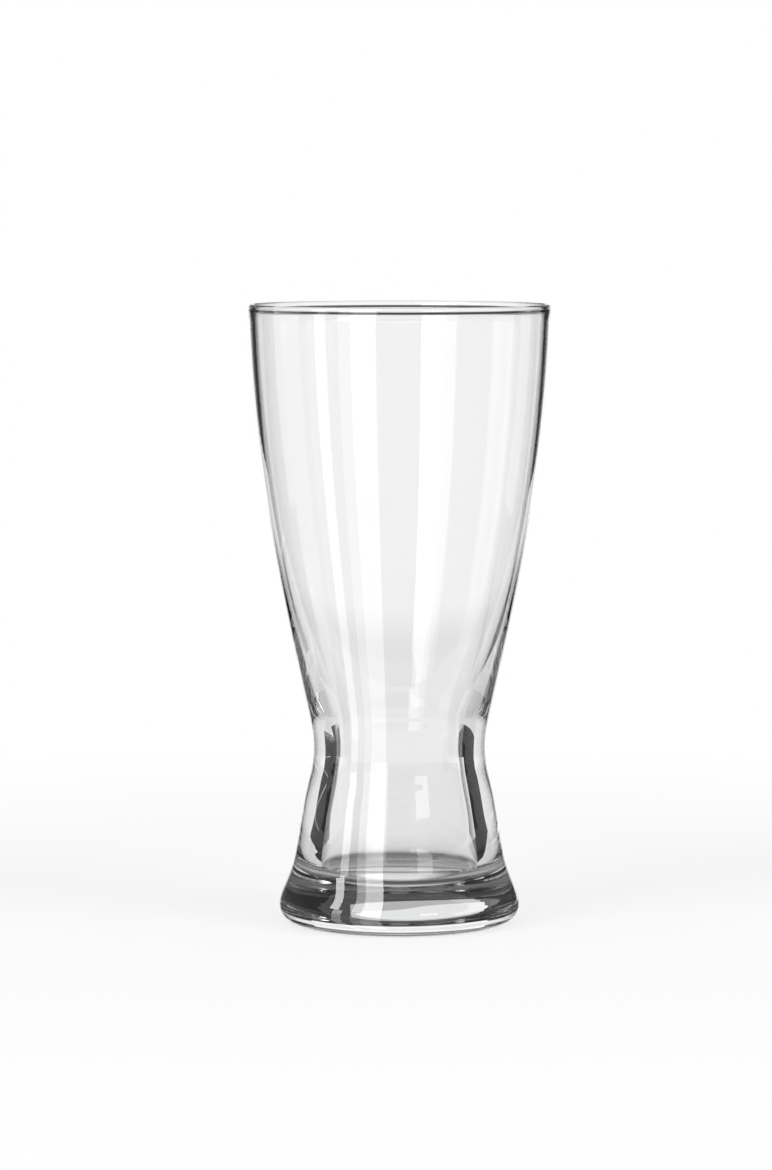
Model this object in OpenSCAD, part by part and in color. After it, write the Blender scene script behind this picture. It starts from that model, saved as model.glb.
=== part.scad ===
// Waisted pilsner glass, formed in one piece of clear soda-lime glass.
// The origin is the middle of the ring that the glass stands on, and +Z is up.
// The wall is half of the section, drawn once and turned round the axis.
// Every lean is the slope of the surface from upright, positive where it opens upwards.

/* [Overall] */
// Height from the table to the top of the lip
glass_h = 160.8; // [145:0.2:180]
// Outside diameter of the lip at its widest
lip_d = 78.5; // [70:0.5:90]
// Outside diameter at the waist
waist_d = 44.66; // [38:0.01:50]
// Height of the waist's narrowest line above the table
waist_z = 45.7; // [40:0.1:52]
// Outside diameter of the foot at its widest
foot_d = 62.7; // [57:0.1:70]

/* [Lip] */
// Height of the fire-polished bead
bead_h = 1.9; // [1.4:0.1:4]
// Thickness of the bead, which its round top follows
bead_t = 1.9; // [1.6:0.1:2.6]
// How far the bead stands proud of the bowl outside
bead_proud = 0.15; // [0.05:0.01:0.3]
// Thickness of the wall just below the bead
lip_wall = 1.55; // [1.2:0.05:2]

/* [Bowl] */
// Lean of the outside just above the waist
bowl_low_lean = 9.5; // [4:0.5:14]
// Lean of the outside just below the bead
bowl_top_lean = 1.8; // [0:0.1:4]
// Lean of the inside just below the bead
bowl_inner_lean = 2.2; // [0:0.1:4]

/* [Waist] */
// Radius of the smooth round outside
waist_round = 30; // [15:1:45]
// Thickness of the wall at the inside throat
throat_wall = 5.88; // [4:0.02:7]
// How far the inside throat lies below the outside waist
throat_drop = 0.55; // [0:0.05:3]
// Radius of the smooth round inside
throat_round = 28.5; // [15:0.5:40]
// Lean of the inside where that round runs into the bowl
throat_top_lean = 21.8; // [15:0.2:26]
// Lean of the inside where that round runs into the chamber
throat_low_lean = -6.3; // [-10:0.1:-3]

/* [Lower body] */
// Lean of the outside just below the waist
body_lean = -14; // [-18:0.1:-10]
// Outside diameter where the body meets the foot
neck_d = 54.28; // [50:0.02:58]
// Height where the body meets the foot
neck_z = 18; // [15:0.5:22]
// Lean of the outside there
neck_lean = -11.1; // [-16:0.1:-6]
// Thickness of the wall where the cavity is widest, just above the floor's corner
neck_wall = 6.55; // [5:0.05:8]
// Lean of the inside above that
chamber_lean = -6; // [-14:0.5:-2]

/* [Foot] */
// Radius of the heel below the widest line
heel_r = 4.4; // [3:0.1:6]
// Thickness of the solid glass under the cavity
floor_t = 9.2; // [7:0.1:13]
// Radius of the corner between the cavity's side and its floor
floor_r = 5; // [3:0.1:8]
// Width of the flat ring that the glass stands on
ring_w = 3; // [1.5:0.1:5]
// Depth of the hollow under the foot
kick_h = 1; // [0.5:0.1:3]

/* [Hidden] */
$fn = 180;

// Reach of each curve's handles, as shares of the straight distance that the curve spans
bowl_low_pull_share = 0.1;
bowl_top_pull_share = 0.46;
inner_low_pull_share = 0.235;
inner_top_pull_share = 0.51;
body_low_pull_share = 0.5;
body_top_pull_share = 0.43;
chamber_low_pull_share = 0.49;
chamber_top_pull_share = 0.215;
foot_low_pull_share = 0.26;
foot_top_pull_share = 0.52;
bead_pull_share = 0.4;

// Points on each long curve, each short curve, each arc and each side of the bead
long_steps = 36;
short_steps = 12;
arc_steps = 8;
bead_steps = 4;

// Radii and heights worked out from the sizes
lip_r = lip_d / 2;
waist_r = waist_d / 2;
neck_r = neck_d / 2;
foot_r = foot_d / 2;
bead_r = bead_t / 2;
bowl_top_r = lip_r - bead_proud;
bowl_top_z = glass_h - bead_h;
floor_z = kick_h + floor_t;
ring_out_r = foot_r - heel_r;
ring_in_r = ring_out_r - ring_w;

// Point of an arc, where its surface has this lean. A positive radius bulges away from the axis.
function arc_point(centre, radius, lean) = centre + radius * [cos(lean), -sin(lean)];

// Arc whose surface turns from one lean to another, without its first point
function arc(centre, radius, start_lean, end_lean, steps) =
    [for (i = [1 : steps])
        let(lean = start_lean + (end_lean - start_lean) * i / steps)
        arc_point(centre, radius, lean)];

// Cubic curve between two ends, without its first point.
// Each end is [point, lean, share], and its handle runs along the lean for that share of the span.
function curve(start, end, steps) =
    let(
        span = norm(end[0] - start[0]),
        near = start[0] + span * start[2] * [sin(start[1]), cos(start[1])],
        far = end[0] - span * end[2] * [sin(end[1]), cos(end[1])]
    )
    [for (i = [1 : steps])
        let(t = i / steps, u = 1 - t)
        u * u * u * start[0] + 3 * u * u * t * near + 3 * u * t * t * far + t * t * t * end[0]];

// Middle of each arc, as [radius, height]
heel_centre = [ring_out_r, heel_r];
waist_centre = [waist_r + waist_round, waist_z];
throat_centre = [waist_r - throat_wall + throat_round, waist_z - throat_drop];
lip_centre = [lip_r - bead_r, glass_h - bead_r];
corner_centre = [neck_r - neck_wall - floor_r, floor_z + floor_r];

// Points where two stretches of the section meet
heel_top = arc_point(heel_centre, heel_r, 0);
neck = [neck_r, neck_z];
body_top = arc_point(waist_centre, -waist_round, body_lean);
bowl_low = arc_point(waist_centre, -waist_round, bowl_low_lean);
bowl_top = [bowl_top_r, bowl_top_z];
lip_out = arc_point(lip_centre, bead_r, 0);
lip_in = arc_point(lip_centre, bead_r, -180);
inner_top = [bowl_top_r - lip_wall, bowl_top_z];
throat_top = arc_point(throat_centre, -throat_round, throat_top_lean);
throat_low = arc_point(throat_centre, -throat_round, throat_low_lean);
chamber_low = arc_point(corner_centre, -floor_r, chamber_lean - 180);

// Ball that hollows the underside, through the standing ring's inner edge, and its angle at that edge
kick_r = (ring_in_r * ring_in_r + kick_h * kick_h) / (2 * kick_h);
kick_angle = asin(ring_in_r / kick_r);

// From the middle of the underside out to the standing ring
underside = concat(
    [for (i = [0 : arc_steps - 1])
        let(turn = kick_angle * i / arc_steps)
        [kick_r * sin(turn), kick_h - kick_r + kick_r * cos(turn)]],
    [[ring_in_r, 0], [ring_out_r, 0]]
);

// Outside, from the heel up to the lip's widest line
outside = concat(
    arc(heel_centre, heel_r, 90, 0, arc_steps),
    curve([heel_top, 0, foot_low_pull_share], [neck, neck_lean, foot_top_pull_share], short_steps),
    curve([neck, neck_lean, body_low_pull_share], [body_top, body_lean, body_top_pull_share], short_steps),
    arc(waist_centre, -waist_round, body_lean, bowl_low_lean, arc_steps),
    curve([bowl_low, bowl_low_lean, bowl_low_pull_share],
          [bowl_top, bowl_top_lean, bowl_top_pull_share], long_steps),
    curve([bowl_top, bowl_top_lean, bead_pull_share], [lip_out, 0, bead_pull_share], bead_steps)
);

// Over the lip and down the inside to the middle of the cavity's floor, with each lean turned by 180
inside = concat(
    arc(lip_centre, bead_r, 0, -180, 2 * arc_steps),
    curve([lip_in, -180, bead_pull_share], [inner_top, bowl_inner_lean - 180, bead_pull_share], bead_steps),
    curve([inner_top, bowl_inner_lean - 180, inner_top_pull_share],
          [throat_top, throat_top_lean - 180, inner_low_pull_share], long_steps),
    arc(throat_centre, -throat_round, throat_top_lean, throat_low_lean, arc_steps),
    curve([throat_low, throat_low_lean - 180, chamber_top_pull_share],
          [chamber_low, chamber_lean - 180, chamber_low_pull_share], short_steps),
    arc(corner_centre, -floor_r, chamber_lean - 180, 90 - 180, arc_steps),
    [[0, floor_z]]
);

module glass_body() {
    color([0.86, 0.9, 0.9, 0.35])
    rotate_extrude()
    polygon(concat(underside, outside, inside));
}

glass_body();
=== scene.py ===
"""A waisted pilsner glass in clear soda-lime glass, empty, on a white studio table."""

import math

import bpy
import numpy as np
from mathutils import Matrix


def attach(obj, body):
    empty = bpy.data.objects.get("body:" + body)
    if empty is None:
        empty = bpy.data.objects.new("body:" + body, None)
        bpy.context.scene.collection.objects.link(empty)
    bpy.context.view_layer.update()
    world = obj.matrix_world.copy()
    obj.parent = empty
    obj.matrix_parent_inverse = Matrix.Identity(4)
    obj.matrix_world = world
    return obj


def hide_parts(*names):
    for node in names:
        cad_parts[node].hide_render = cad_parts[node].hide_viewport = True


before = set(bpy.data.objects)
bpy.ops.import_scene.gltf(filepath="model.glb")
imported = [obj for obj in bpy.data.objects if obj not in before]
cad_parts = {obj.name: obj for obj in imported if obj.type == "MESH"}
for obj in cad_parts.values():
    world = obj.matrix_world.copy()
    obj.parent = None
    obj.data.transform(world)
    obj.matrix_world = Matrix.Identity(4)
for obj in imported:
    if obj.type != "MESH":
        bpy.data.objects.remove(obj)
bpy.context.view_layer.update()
scene = bpy.context.scene

# Camera. The photograph was taken from a little above the lip with a long lens, so the lip closes to a
# thin ellipse and the foot opens to a rounder one. The glass stands just right of the middle.
CAMERA_BACK = 1.221
CAMERA_HEIGHT = 0.19065
CAMERA_LEFT = 0.0035
CAMERA_TILT = math.radians(4.81)
CAMERA_REACH = 20
LENS_MM = 145.1

camera = bpy.data.objects.new("camera", bpy.data.cameras.new("camera"))
camera.data.lens = LENS_MM
camera.data.clip_end = CAMERA_REACH
camera.location = (-CAMERA_LEFT, -CAMERA_BACK, CAMERA_HEIGHT)
camera.rotation_euler = (math.pi / 2 - CAMERA_TILT, 0, 0)
scene.collection.objects.link(camera)
scene.camera = camera
scene.view_settings.view_transform = "Standard"

# Light passes many walls in a thick foot, so paths are let run long enough to come out again.
GLASS_BOUNCES = 24
scene.cycles.max_bounces = GLASS_BOUNCES
scene.cycles.transmission_bounces = GLASS_BOUNCES
scene.cycles.glossy_bounces = GLASS_BOUNCES


def linear(hex_colour):
    """Linear red, green, blue and 1 from sRGB hex: v / 12.92 up to 0.04045, above it a 2.4 power curve."""
    values = [int(hex_colour[i : i + 2], 16) / 255 for i in (1, 3, 5)]
    return [v / 12.92 if v <= 0.04045 else ((v + 0.055) / 1.055) ** 2.4 for v in values] + [1]


def node(tree, kind, links=None, **settings):
    """Add one shader node, set its fields and unlinked sockets, and link the sockets named in links."""
    new = tree.nodes.new(kind)
    for name, value in settings.items():
        if hasattr(new, name):
            setattr(new, name, value)
        else:
            new.inputs[name.replace("_", " ")].default_value = value
    for name, source in (links or {}).items():
        socket = new.inputs[name] if isinstance(name, int) else new.inputs[name.replace("_", " ")]
        tree.links.new(source, socket)
    return new


# Sweep. A white paper sweep hangs behind the glass, lit until it is pure white in the picture. What it
# gives the table as fill light is kept lower, so that the soft shadow under the lamps stays.
SWEEP_WHITE = "#ffffff"
SWEEP_SEEN = 1.0
SWEEP_FILL = 0.45

world = bpy.data.worlds.new("white_sweep")
world.use_nodes = True
scene.world = world
tree = world.node_tree
tree.nodes.clear()
path = node(tree, "ShaderNodeLightPath")
seen = node(tree, "ShaderNodeMath", {0: path.outputs["Is Camera Ray"], 1: path.outputs["Is Glossy Ray"]},
            operation="MAXIMUM")
seen = node(tree, "ShaderNodeMath", {0: seen.outputs[0], 1: path.outputs["Is Transmission Ray"]},
            operation="MAXIMUM")
fill = node(tree, "ShaderNodeBackground", Color=linear(SWEEP_WHITE), Strength=SWEEP_FILL)
sweep = node(tree, "ShaderNodeBackground", Color=linear(SWEEP_WHITE), Strength=SWEEP_SEEN)
either = node(tree, "ShaderNodeMixShader", {0: seen.outputs[0], 1: fill.outputs[0], 2: sweep.outputs[0]})
node(tree, "ShaderNodeOutputWorld", {"Surface": either.outputs[0]})

# Table. A table top in white laminate. Near the glass its white is partly its own colour under the lamps
# and partly an even glow, and further out it runs into the sweep. Through the glass it is seen in rings of
# painted light and shadow, a glow set by the distance from the axis: a painted bright middle under the
# hollow, the painted dark line of the standing ring, and a painted shadow that fades away from the foot.
LAMINATE_WHITE = "#ffffff"
TABLE_HALF = 6.0
TABLE_GAP = 0.00005
SHADE_NEAR = 0.12
SHADE_FAR = 0.40
EVEN_NEAR = 0.72
SHADE_SHARE = 0.30
PAINTED_LIGHT_AND_SHADOW_REACH = 0.5
# Painted light and shadow of the table as the glass shows it: distance from the axis in metres, and
# brightness.
PAINTED_LIGHT_AND_SHADOW_TONES = ((0.0, 1.0), (0.008, 0.9), (0.013, 0.45), (0.018, 0.12), (0.024, 0.08), (0.029, 0.45), (0.034, 0.35),
         (0.038, 0.2), (0.043, 0.22), (0.048, 0.48), (0.053, 0.6), (0.062, 0.7), (0.085, 0.77), (0.13, 0.85),
         (0.2, 0.9), (0.22, 0.895), (0.25, 0.885), (0.27, 0.9), (0.3, 0.87), (0.34, 0.87), (0.42, 0.95),
         (0.49, 1.0))

laminate_with_painted_shadow = bpy.data.materials.new("white_laminate_with_painted_shadow")
laminate_with_painted_shadow.use_nodes = True
tree = laminate_with_painted_shadow.node_tree
tree.nodes.clear()
place = node(tree, "ShaderNodeTexCoord")
reach = node(tree, "ShaderNodeVectorMath", {0: place.outputs["Object"]}, operation="LENGTH")
fade = node(tree, "ShaderNodeMapRange", {"Value": reach.outputs["Value"]}, interpolation_type="SMOOTHSTEP",
            From_Min=SHADE_NEAR, From_Max=SHADE_FAR)
shade = node(tree, "ShaderNodeBsdfDiffuse", Color=[SHADE_SHARE] * 3 + [1])
even = node(tree, "ShaderNodeEmission", Color=linear(LAMINATE_WHITE), Strength=EVEN_NEAR)
near = node(tree, "ShaderNodeAddShader", {0: shade.outputs[0], 1: even.outputs[0]})
far = node(tree, "ShaderNodeEmission", Color=linear(LAMINATE_WHITE), Strength=SWEEP_SEEN)
direct = node(tree, "ShaderNodeMixShader", {0: fade.outputs[0], 1: near.outputs[0], 2: far.outputs[0]})
# Seen through the glass, the table glows in rings of painted light and shadow instead of its lit white.
share = node(tree, "ShaderNodeMapRange", {"Value": reach.outputs["Value"]}, From_Max=PAINTED_LIGHT_AND_SHADOW_REACH)
painted_light_and_shadow_ramp = node(tree, "ShaderNodeValToRGB", {"Fac": share.outputs[0]})
painted_light_and_shadow_ramp.color_ramp.elements[0].color = [PAINTED_LIGHT_AND_SHADOW_TONES[0][1]] * 3 + [1]
for distance, value in PAINTED_LIGHT_AND_SHADOW_TONES[1:]:
    painted_light_and_shadow_ramp.color_ramp.elements.new(distance / PAINTED_LIGHT_AND_SHADOW_REACH).color = [value] * 3 + [1]
painted_light_and_shadow_glow = node(tree, "ShaderNodeEmission", {"Color": painted_light_and_shadow_ramp.outputs["Color"]}, Strength=SWEEP_SEEN)
path = node(tree, "ShaderNodeLightPath")
either = node(tree, "ShaderNodeMixShader",
              {0: path.outputs["Is Transmission Ray"], 1: direct.outputs[0], 2: painted_light_and_shadow_glow.outputs[0]})
node(tree, "ShaderNodeOutputMaterial", {"Surface": either.outputs[0]})


def stage_piece(name, points, faces, finish, seen_by):
    """Put a stage piece in the scene from its points and faces. Only the named kinds of ray see it."""
    mesh = bpy.data.meshes.new(name)
    mesh.from_pydata(points, [], faces)
    piece = bpy.data.objects.new(name, mesh)
    scene.collection.objects.link(piece)
    mesh.materials.append(finish)
    for ray in ("camera", "diffuse", "glossy", "transmission", "shadow", "volume_scatter"):
        setattr(piece, "visible_" + ray, ray in seen_by)


def stage_card(name, x, y, z, finish, seen_by):
    """Thin card of quads: x, y and z are grids of two rows, its near and far or its low and high edge."""
    points = np.stack([np.asarray(axis, float) for axis in (x, y, z)], axis=-1).reshape(-1, 3)
    column = np.arange(len(points) // 2 - 1)
    after = column + len(points) // 2
    faces = np.stack([column, column + 1, after + 1, after], axis=-1)
    stage_piece(name, points.tolist(), faces.tolist(), finish, seen_by)


x, y = np.meshgrid([-TABLE_HALF, TABLE_HALF], [-TABLE_HALF, TABLE_HALF])
stage_card("table", x, y, x * 0 - TABLE_GAP, laminate_with_painted_shadow, ("camera", "diffuse", "transmission", "shadow"))

# Flock cards. Two black cards covered in flock stand left and right of the glass, just outside the picture,
# and two more lie on the table in front of them, each with a grey sheet of painted shade beside it, which
# stands for the table's shade between the glass and the cards. They draw the dark bars and edges of the
# glass, and only the glass sees them, by refraction or by mirroring.
FLOCK_BLACK = "#2d2d2d"
# Grey of the painted shade that lies on the table beside the lying black cards.
PAINTED_SHADE_GREY = "#dcdcdc"
ROOM_RADIUS = 3.0
ROOM_TALL = 6.0
FACET_TURN = 4
CARD_RADIUS = 0.45
CARD_LOW = 0.055
CARD_HIGH = 0.09
# Turns are in degrees from straight behind the glass, positive to the right.
CARD_TURNS = (("right", 1, 23, 33, 62, 0), ("left", -1, 21, 33, 69, 0.018))
SLANT_STRIPS = 5
EDGE_LAST = 47
SIDE_FIRST = 42
SIDE_LAST = 97
NEAR_RADIUS = 0.06
NEAR_LOW = 0.02
NEAR_HIGH = 0.046
UNDER_RADIUS = 0.12
UNDER_DEEP = 0.05
LYING_RISE = 0.002


def glow(name, colour, strength=1.0):
    """Finish that looks the same from every side: its colour times its strength, with no shading."""
    finish = bpy.data.materials.new(name)
    finish.use_nodes = True
    tree = finish.node_tree
    tree.nodes.clear()
    shine = node(tree, "ShaderNodeEmission", Color=linear(colour), Strength=strength)
    node(tree, "ShaderNodeOutputMaterial", {"Surface": shine.outputs[0]})
    return finish


def upright(name, first, last, finish, low=-ROOM_TALL, high=ROOM_TALL, radius=ROOM_RADIUS,
            seen_by=("glossy", "transmission")):
    """Upright card, a strip of a drum round the glass: radius times the sine and cosine of each turn,
    between two edges that are level or run straight from one height to another."""
    columns = 2 + int(abs(last - first) / FACET_TURN)
    turn = np.radians(np.linspace([first, first], [last, last], columns, axis=1))
    z = [np.linspace(*(edge if isinstance(edge, tuple) else (edge, edge)), columns) for edge in (low, high)]
    stage_card(name, radius * np.sin(turn), radius * np.cos(turn), z, finish, seen_by)


def lying(name, near, far, finish):
    """Card on the table between two edges, each given by its corners as x and y. Only refraction shows it."""
    x, y = np.array([near, far]).transpose(2, 0, 1)
    stage_card(name, x, y, x * 0 + LYING_RISE, finish, ("transmission",))


black_flock = glow("black_flock", FLOCK_BLACK)
for side, turned, first, foot_first, last, rise in CARD_TURNS:
    upright("black_card_" + side, first * turned, last * turned, black_flock, low=CARD_HIGH + rise,
            radius=CARD_RADIUS, seen_by=("transmission",))
    upright("black_foot_" + side, foot_first * turned, last * turned, black_flock, high=CARD_LOW + rise,
            radius=CARD_RADIUS, seen_by=("transmission",))
    edges = np.linspace(CARD_LOW + rise, CARD_HIGH + rise, SLANT_STRIPS + 1)
    for k in range(SLANT_STRIPS):
        slant_first = foot_first + (first - foot_first) * (k + 0.5) / SLANT_STRIPS
        upright("black_slant_" + side, slant_first * turned, last * turned, black_flock, low=edges[k],
                high=edges[k + 1], radius=CARD_RADIUS, seen_by=("transmission",))
    upright("black_edge_" + side, first * turned, EDGE_LAST * turned, black_flock, radius=CARD_RADIUS,
            seen_by=("glossy",))
    upright("black_side_" + side, SIDE_FIRST * turned, SIDE_LAST * turned, black_flock, low=0,
            seen_by=("glossy",))
    upright("black_near_" + side, SIDE_FIRST * turned, SIDE_LAST * turned, black_flock, low=NEAR_LOW,
            high=NEAR_HIGH, radius=NEAR_RADIUS, seen_by=("glossy",))
    upright("black_under_" + side, SIDE_FIRST * turned, SIDE_LAST * turned, black_flock, low=-UNDER_DEEP,
            high=0, radius=UNDER_RADIUS, seen_by=("glossy",))

lying("black_lying_right",
      [(0.080, 0.020), (0.090, 0.060), (0.099, 0.106), (0.104, 0.160), (0.245, 0.377)],
      [(0.450, 0.100), (0.430, 0.160), (0.390, 0.220), (0.340, 0.290), (0.246, 0.378)], black_flock)
lying("black_lying_left",
      [(-0.080, 0.020), (-0.090, 0.060), (-0.125, 0.062), (-0.200, 0.137), (-0.306, 0.243)],
      [(-0.450, 0.100), (-0.430, 0.160), (-0.390, 0.220), (-0.340, 0.270), (-0.320, 0.290)], black_flock)
# Grey sheets beside the lying black cards: painted shade of the table between the glass and the cards.
painted_shade_sheet = glow("painted_shade_sheet", PAINTED_SHADE_GREY)
lying("painted_shade_lying_right",
      [(0.060, 0.000), (0.065, 0.030), (0.050, 0.055), (0.060, 0.090), (0.104, 0.160)],
      [(0.079, 0.000), (0.080, 0.021), (0.090, 0.060), (0.0985, 0.106), (0.1035, 0.160)], painted_shade_sheet)
lying("painted_shade_lying_left",
      [(-0.060, 0.000), (-0.065, 0.030), (-0.055, 0.050), (-0.075, 0.090), (-0.088, 0.108)],
      [(-0.079, 0.000), (-0.080, 0.021), (-0.090, 0.060), (-0.110, 0.073), (-0.112, 0.092)], painted_shade_sheet)

# Louvre. The rest of the left lying card is a louvre of very low flock blades on edge. From near the table
# they close to one black sheet, which is what the lower body shows, and from above the white table shows
# between them.
BLADE_HIGH = 0.000125
BLADE_STEP = 0.0005
BLADE_TURN = math.radians(-45)
BLADE_LEFT = -0.05
BLADE_ENDS = (0.146, 0.430)
BLADE_RIGHT = ((0.146, -0.012), (0.152, 0.003), (0.156, 0.030), (0.187, 0.040), (0.430, 0.0914))

along = np.arange(*BLADE_ENDS, BLADE_STEP)
right = np.interp(along, *zip(*BLADE_RIGHT))
left = np.full(len(along), BLADE_LEFT)
across = np.stack([left, right, right, left], axis=-1).ravel()
z = np.tile([0, 0, BLADE_HIGH, BLADE_HIGH], len(along))
along = along.repeat(4)
points = np.stack([along * math.sin(BLADE_TURN) + across * math.cos(BLADE_TURN),
                   along * math.cos(BLADE_TURN) - across * math.sin(BLADE_TURN), z], axis=-1)
stage_piece("black_louvre_left", points.tolist(), np.arange(len(points)).reshape(-1, 4).tolist(), black_flock,
            ("transmission",))

# Studio. The white sweep ends in a slanting, softly shaded top edge, with the dark of the room above and in
# front and one pale panel under a black ceiling. The thick foot and the outside of the glass show them.
SWEEP_TURNS = (-97, 75)
FRONT_TURNS = (75, 263)
SHADED_WHITE = "#edeeee"
HALF_GREY = "#bcbcbc"
FRONT_GREY = "#909090"
ROOM_DIM = "#505050"
PANEL_PALE = "#c4c4c4"
SHADED_EDGE = (0.73, 0.005)
HALF_EDGE = (0.85, 0.125)
DARK_EDGE = (0.97, 0.245)
DARK_OUTSIDE_LOW = 0.53
DARK_RIGHT = {"first": 15.5, "low": 0.28, "high": 0.6, "radius": 2.9}
GREY_FRONT = {"first": 97, "low": -1.3, "high": 0, "radius": 2.95}
CEILING = 3.4
PANEL_DROP = 0.01
PANEL_HALF = 1.0
PANEL_FRONT = 1.5

dim_room = glow("dim_room", ROOM_DIM)
for name, finish, low, high in (("shaded_edge", glow("shaded_white", SHADED_WHITE), SHADED_EDGE, HALF_EDGE),
                                ("half_edge", glow("half_grey", HALF_GREY), HALF_EDGE, DARK_EDGE),
                                ("dark_above", dim_room, DARK_EDGE, ROOM_TALL)):
    upright(name, *SWEEP_TURNS, finish, low=low, high=high, seen_by=("transmission",))
upright("dark_above_outside", *SWEEP_TURNS, dim_room, low=DARK_OUTSIDE_LOW, seen_by=("glossy",))
upright("dark_above_right", last=SWEEP_TURNS[1], finish=dim_room, seen_by=("transmission",), **DARK_RIGHT)
upright("black_front", *FRONT_TURNS, black_flock)
upright("grey_front", last=FRONT_TURNS[1], finish=glow("grey_front", FRONT_GREY), seen_by=("glossy",),
        **GREY_FRONT)
x, y = np.meshgrid([-ROOM_RADIUS, ROOM_RADIUS], [-ROOM_RADIUS, ROOM_RADIUS])
stage_card("black_ceiling", x, y, x * 0 + CEILING, black_flock, ("transmission",))
x, y = np.meshgrid([-PANEL_HALF, PANEL_HALF], [PANEL_FRONT, ROOM_RADIUS])
stage_card("pale_panel", x, y, x * 0 + CEILING - PANEL_DROP, glow("pale_panel", PANEL_PALE),
           ("transmission",))

# Lamps. Two tall soft boxes side by side, a strip light and one small box stand in front of the glass and
# show as its bright upright streaks. They are brighter towards the top. Shares are of full brightness.
LAMP_WHITE = "#ffffff"
LAMP_RADIUS = 2.8
LAMPS = (("box", -162, -142, 1.0), ("box_edge", -142, -132, 0.5), ("strip", -122, -112, 1.0))
LOW_GLOW = 3.0
LOW_TOP = 0.4
MIDDLE_GLOW = 5.5
MIDDLE_TOP = 1.0
TOP_GLOW = 10.5
INNER_TOP = 1.6
STRIP_TURN = 5
SMALL_BOX = {"first": 143, "last": 160, "low": 0.6, "high": 1.0}

for name, first, last, share in LAMPS:
    low_glow = glow(name + "_low", LAMP_WHITE, LOW_GLOW * share)
    turn = STRIP_TURN if name == "strip" else 0
    upright(name + "_low", first, last, low_glow, high=LOW_TOP, radius=LAMP_RADIUS, seen_by=("glossy",))
    upright(name + "_middle", first, last, glow(name + "_middle", LAMP_WHITE, MIDDLE_GLOW * share),
            low=LOW_TOP, high=MIDDLE_TOP, radius=LAMP_RADIUS, seen_by=("glossy",))
    upright(name + "_top", first + turn, last + turn, glow(name + "_top", LAMP_WHITE, TOP_GLOW * share),
            low=MIDDLE_TOP, radius=LAMP_RADIUS, seen_by=("glossy",))
    if name != "strip":
        upright(name + "_inner", first, last, low_glow, high=INNER_TOP, radius=LAMP_RADIUS,
                seen_by=("transmission",))
upright("small_box", finish=glow("small_box", LAMP_WHITE, LOW_GLOW), radius=LAMP_RADIUS, seen_by=("glossy",),
        **SMALL_BOX)

# Overhead lamps. Two square soft boxes above and in front light the table and lay the foot's faint shadow.
OVERHEAD_SIZE = 0.8
OVERHEAD = (("key", (-0.9, -0.9, 1.1), 9), ("second", (1.0, -0.7, 1.0), 7))

for name, (x, y, z), watts in OVERHEAD:
    lamp = bpy.data.objects.new(name, bpy.data.lights.new(name, "AREA"))
    lamp.data.size = OVERHEAD_SIZE
    lamp.data.energy = watts
    lamp.location = (x, y, z)
    lamp.rotation_euler = (math.atan2(math.hypot(x, y), z), 0, math.atan2(y, x) + math.pi / 2)
    lamp.visible_glossy = False
    lamp.visible_transmission = False
    scene.collection.objects.link(lamp)

# Glass. One gob of clear soda-lime glass, pressed and blown to shape and fire-polished at the lip. Its foot
# is solid, its wall thins upwards, and it stands on a narrow ring round a shallow hollow. Sizes are in mm,
# and a lean is the slope of the surface from upright in degrees, positive where it opens upwards.
GLASS_HIGH = 160.8
LIP_ACROSS = 78.5
BEAD_HIGH = 1.9
BEAD_THICK = 1.9
BEAD_PROUD = 0.15
LIP_WALL = 1.55
BOWL_LOW_LEAN = 9.5
BOWL_TOP_LEAN = 1.8
BOWL_INNER_LEAN = 2.2
WAIST_ACROSS = 44.66
WAIST_UP = 45.7
WAIST_ROUND = 30
THROAT_WALL = 5.88
THROAT_DROP = 0.55
THROAT_ROUND = 28.5
THROAT_TOP_LEAN = 21.8
THROAT_LOW_LEAN = -6.3
BODY_LEAN = -14
NECK_ACROSS = 54.28
NECK_UP = 18
NECK_LEAN = -11.1
NECK_WALL = 6.55
CHAMBER_LEAN = -6
FOOT_ACROSS = 62.7
HEEL_ROUND = 4.4
FLOOR_THICK = 9.2
FLOOR_ROUND = 5
RING_WIDE = 3
KICK_DEEP = 1.0

# Reach of each curve's handles at its start and its end, as shares of the straight distance that it spans
FOOT_SHARES = (0.26, 0.52)
BODY_SHARES = (0.5, 0.43)
BOWL_SHARES = (0.1, 0.46)
BEAD_SHARES = (0.4, 0.4)
INNER_SHARES = (0.51, 0.235)
CHAMBER_SHARES = (0.215, 0.49)

# Points round the glass, on each long and short stretch of its section, and on its corners, bead and flats
AROUND = 280
LONG_STEPS = 60
SHORT_STEPS = 24
CORNER_STEPS = 20
BEAD_STEPS = 8
KICK_STEPS = 16
RING_STEPS = 4
FLOOR_STEPS = 5

# Finish: the slow waves that drawing leaves in a fire-polished wall, a trace of grey in step with them, and
# the fine scuffs of the standing ring. These lengths are in metres, as the object's own coordinates are.
WAVE_LONG = 0.014
WAVE_DRAWN = 0.4
WAVE_DEEP = 0.000002
SPECK_LONG = 0.0008
SCUFF_HIGH = 0.0003
GLASS_CLEAR = "#ffffff"
GLASS_GREYED = "#fefefe"
GLASS_IOR = 1.52


def lean_point(centre, radius, lean):
    """Point of a circle of the section where its surface has this lean: the centre plus the radius times
    cosine and minus sine of the lean. A negative radius gives the hollow side."""
    return np.array(centre) + radius * np.array([np.cos(np.radians(lean)), -np.sin(np.radians(lean))])


def arc(centre, radius, first, last, steps):
    """Circle arc in the section, turning evenly from one lean to another, without its first point."""
    lean = np.radians(np.linspace(first, last, steps + 1)[1:, None])
    return np.array(centre) + radius * np.hstack([np.cos(lean), -np.sin(lean)])


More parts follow.
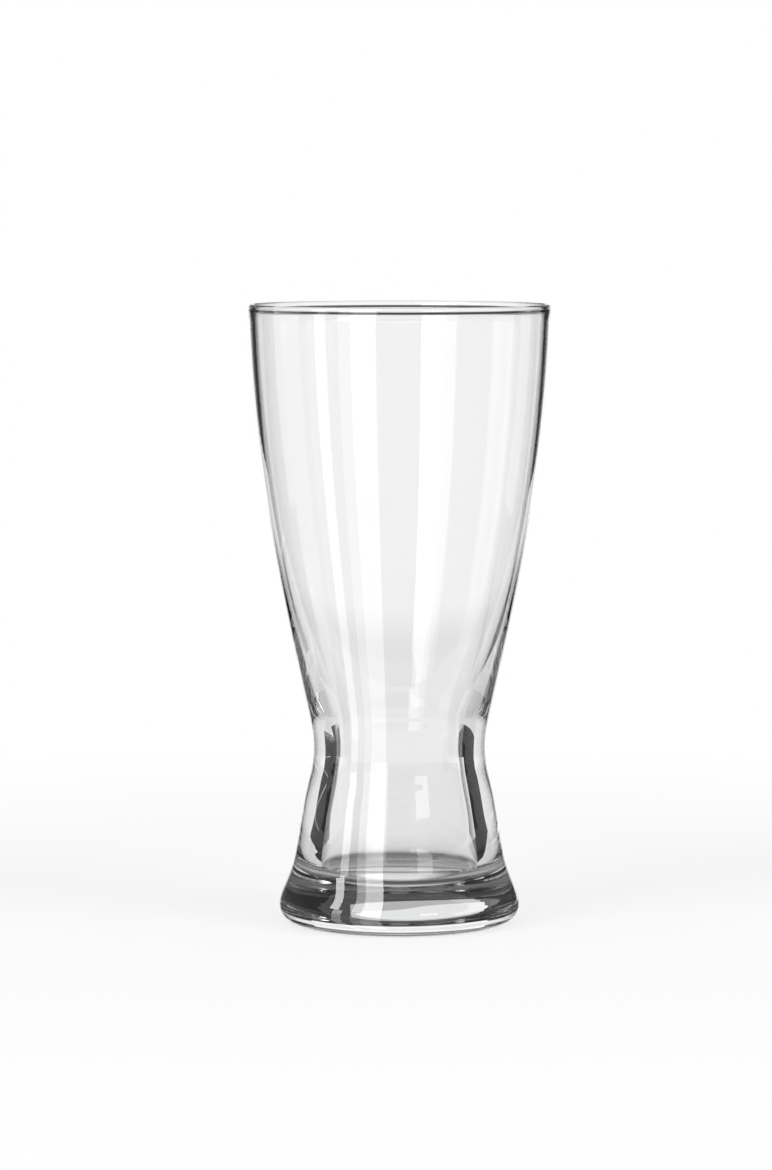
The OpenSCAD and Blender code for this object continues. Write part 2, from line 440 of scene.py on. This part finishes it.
def curve(start, start_lean, end, end_lean, shares, steps):
    """Cubic curve in the section between two points, without its first point. Each handle runs along its
    end's lean for its share of the span, and the points are the four corners weighed by the cubic's
    weights."""
    start, end = np.array(start, float), np.array(end, float)
    span = np.linalg.norm(end - start)
    start_turn, end_turn = np.radians(start_lean), np.radians(end_lean)
    near = start + span * shares[0] * np.array([np.sin(start_turn), np.cos(start_turn)])
    far = end - span * shares[1] * np.array([np.sin(end_turn), np.cos(end_turn)])
    t = np.linspace(0, 1, steps + 1)[1:, None]
    return (1 - t) ** 3 * start + 3 * t * (1 - t) ** 2 * near + 3 * t**2 * (1 - t) * far + t**3 * end


def glass_section():
    """Half section in mm, from the middle of the underside, out, up, over the lip and down to the cavity's
    floor: a chain of arcs and cubic curves that share their leans where they meet."""
    lip, waist, neck, foot, bead = (size / 2 for size in (LIP_ACROSS, WAIST_ACROSS, NECK_ACROSS, FOOT_ACROSS,
                                                          BEAD_THICK))
    floor_up = KICK_DEEP + FLOOR_THICK
    ring_out = foot - HEEL_ROUND
    ring_in = ring_out - RING_WIDE
    heel_mid = (ring_out, HEEL_ROUND)
    waist_mid = (waist + WAIST_ROUND, WAIST_UP)
    throat_mid = (waist - THROAT_WALL + THROAT_ROUND, WAIST_UP - THROAT_DROP)
    corner_mid = (neck - NECK_WALL - FLOOR_ROUND, floor_up + FLOOR_ROUND)
    lip_mid = (lip - bead, GLASS_HIGH - bead)
    heel_top = (foot, HEEL_ROUND)
    neck_out = (neck, NECK_UP)
    body_top = lean_point(waist_mid, -WAIST_ROUND, BODY_LEAN)
    bowl_low = lean_point(waist_mid, -WAIST_ROUND, BOWL_LOW_LEAN)
    bowl_top = (lip - BEAD_PROUD, GLASS_HIGH - BEAD_HIGH)
    lip_out = lean_point(lip_mid, bead, 0)
    lip_in = lean_point(lip_mid, bead, -180)
    inner_top = (lip - BEAD_PROUD - LIP_WALL, GLASS_HIGH - BEAD_HIGH)
    throat_top = lean_point(throat_mid, -THROAT_ROUND, THROAT_TOP_LEAN)
    throat_low = lean_point(throat_mid, -THROAT_ROUND, THROAT_LOW_LEAN)
    chamber_low = lean_point(corner_mid, -FLOOR_ROUND, CHAMBER_LEAN - 180)
    ball = (ring_in**2 + KICK_DEEP**2) / (2 * KICK_DEEP)
    turn = np.linspace(0, np.arcsin(ring_in / ball), KICK_STEPS + 1)[:, None]
    return np.vstack([
        np.hstack([ball * np.sin(turn), KICK_DEEP - ball + ball * np.cos(turn)]),
        np.linspace([ring_in, 0], [ring_out, 0], RING_STEPS + 1)[1:],
        arc(heel_mid, HEEL_ROUND, 90, 0, CORNER_STEPS),
        curve(heel_top, 0, neck_out, NECK_LEAN, FOOT_SHARES, SHORT_STEPS),
        curve(neck_out, NECK_LEAN, body_top, BODY_LEAN, BODY_SHARES, SHORT_STEPS),
        arc(waist_mid, -WAIST_ROUND, BODY_LEAN, BOWL_LOW_LEAN, SHORT_STEPS),
        curve(bowl_low, BOWL_LOW_LEAN, bowl_top, BOWL_TOP_LEAN, BOWL_SHARES, LONG_STEPS),
        curve(bowl_top, BOWL_TOP_LEAN, lip_out, 0, BEAD_SHARES, BEAD_STEPS),
        arc(lip_mid, bead, 0, -180, SHORT_STEPS),
        curve(lip_in, -180, inner_top, BOWL_INNER_LEAN - 180, BEAD_SHARES, BEAD_STEPS),
        curve(inner_top, BOWL_INNER_LEAN - 180, throat_top, THROAT_TOP_LEAN - 180, INNER_SHARES, LONG_STEPS),
        arc(throat_mid, -THROAT_ROUND, THROAT_TOP_LEAN, THROAT_LOW_LEAN, SHORT_STEPS),
        curve(throat_low, THROAT_LOW_LEAN - 180, chamber_low, CHAMBER_LEAN - 180, CHAMBER_SHARES,
              SHORT_STEPS),
        arc(corner_mid, -FLOOR_ROUND, CHAMBER_LEAN - 180, -90, CORNER_STEPS),
        np.linspace([corner_mid[0], floor_up], [0, floor_up], FLOOR_STEPS + 1)[1:],
    ])


def turned_mesh(name, section):
    """Closed mesh of a section turned round the axis: its radius times the cosine and sine of each turn.
    Its first and last points lie on the axis and are the middles of two fans."""
    ring = section[1:-1]
    turn = np.linspace(0, 2 * np.pi, AROUND, endpoint=False)
    points = np.stack([np.outer(ring[:, 0], np.cos(turn)), np.outer(ring[:, 0], np.sin(turn)),
                       np.repeat(ring[:, 1:], AROUND, axis=1)], axis=-1).reshape(-1, 3)
    points = np.vstack([points, [0, 0, section[0, 1]], [0, 0, section[-1, 1]]])
    index = np.arange(len(ring) * AROUND).reshape(-1, AROUND)
    after = np.roll(index, -1, axis=1)
    quads = np.stack([index[:-1], after[:-1], after[1:], index[1:]], axis=-1).reshape(-1, 4)
    under = np.stack([np.full(AROUND, len(points) - 2), after[0], index[0]], axis=-1)
    over = np.stack([np.full(AROUND, len(points) - 1), index[-1], after[-1]], axis=-1)
    mesh = bpy.data.meshes.new(name)
    mesh.from_pydata(points.tolist(), [], quads.tolist() + under.tolist() + over.tolist())
    mesh.polygons.foreach_set("use_smooth", np.ones(len(mesh.polygons), bool))
    return mesh


section = glass_section() / 1000
section[:, 0] = section[:, 0].clip(0)
glass = bpy.data.objects.new("pilsner_glass", turned_mesh("pilsner_glass", section))
scene.collection.objects.link(glass)

# Fire-polished soda-lime glass: sharp mirroring and clear refraction, with streaks that waver a very little
# where the wall was drawn, and a finely scuffed ring where it stands.
clear_glass = bpy.data.materials.new("fire_polished_soda_lime_glass")
clear_glass.use_nodes = True
tree = clear_glass.node_tree
shader = tree.nodes["Principled BSDF"]
shader.inputs["IOR"].default_value = GLASS_IOR
shader.inputs["Transmission Weight"].default_value = 1.0
place = node(tree, "ShaderNodeTexCoord")
drawn = node(tree, "ShaderNodeMapping", {"Vector": place.outputs["Object"]}, Scale=(1, 1, WAVE_DRAWN))
waves = node(tree, "ShaderNodeTexNoise", {"Vector": drawn.outputs[0]}, Scale=1 / WAVE_LONG, Detail=1.0)
waved = node(tree, "ShaderNodeBump", {"Height": waves.outputs[0]}, Strength=1.0, Distance=WAVE_DEEP)
tree.links.new(waved.outputs[0], shader.inputs["Normal"])
tint = node(tree, "ShaderNodeValToRGB", {"Fac": waves.outputs[0]})
tint.color_ramp.elements[0].color = linear(GLASS_GREYED)
tint.color_ramp.elements[1].color = linear(GLASS_CLEAR)
tree.links.new(tint.outputs["Color"], shader.inputs["Base Color"])
height = node(tree, "ShaderNodeSeparateXYZ", {0: place.outputs["Object"]})
worn = node(tree, "ShaderNodeMapRange", {"Value": height.outputs["Z"]}, From_Min=SCUFF_HIGH, From_Max=0)
specks = node(tree, "ShaderNodeTexNoise", {"Vector": place.outputs["Object"]}, Scale=1 / SPECK_LONG,
              Detail=2.0)
scuffs = node(tree, "ShaderNodeMath", {0: worn.outputs[0], 1: specks.outputs[0]}, operation="MULTIPLY")
tree.links.new(scuffs.outputs[0], shader.inputs["Roughness"])
glass.data.materials.append(clear_glass)
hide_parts("glass_body")
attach(glass, "root")
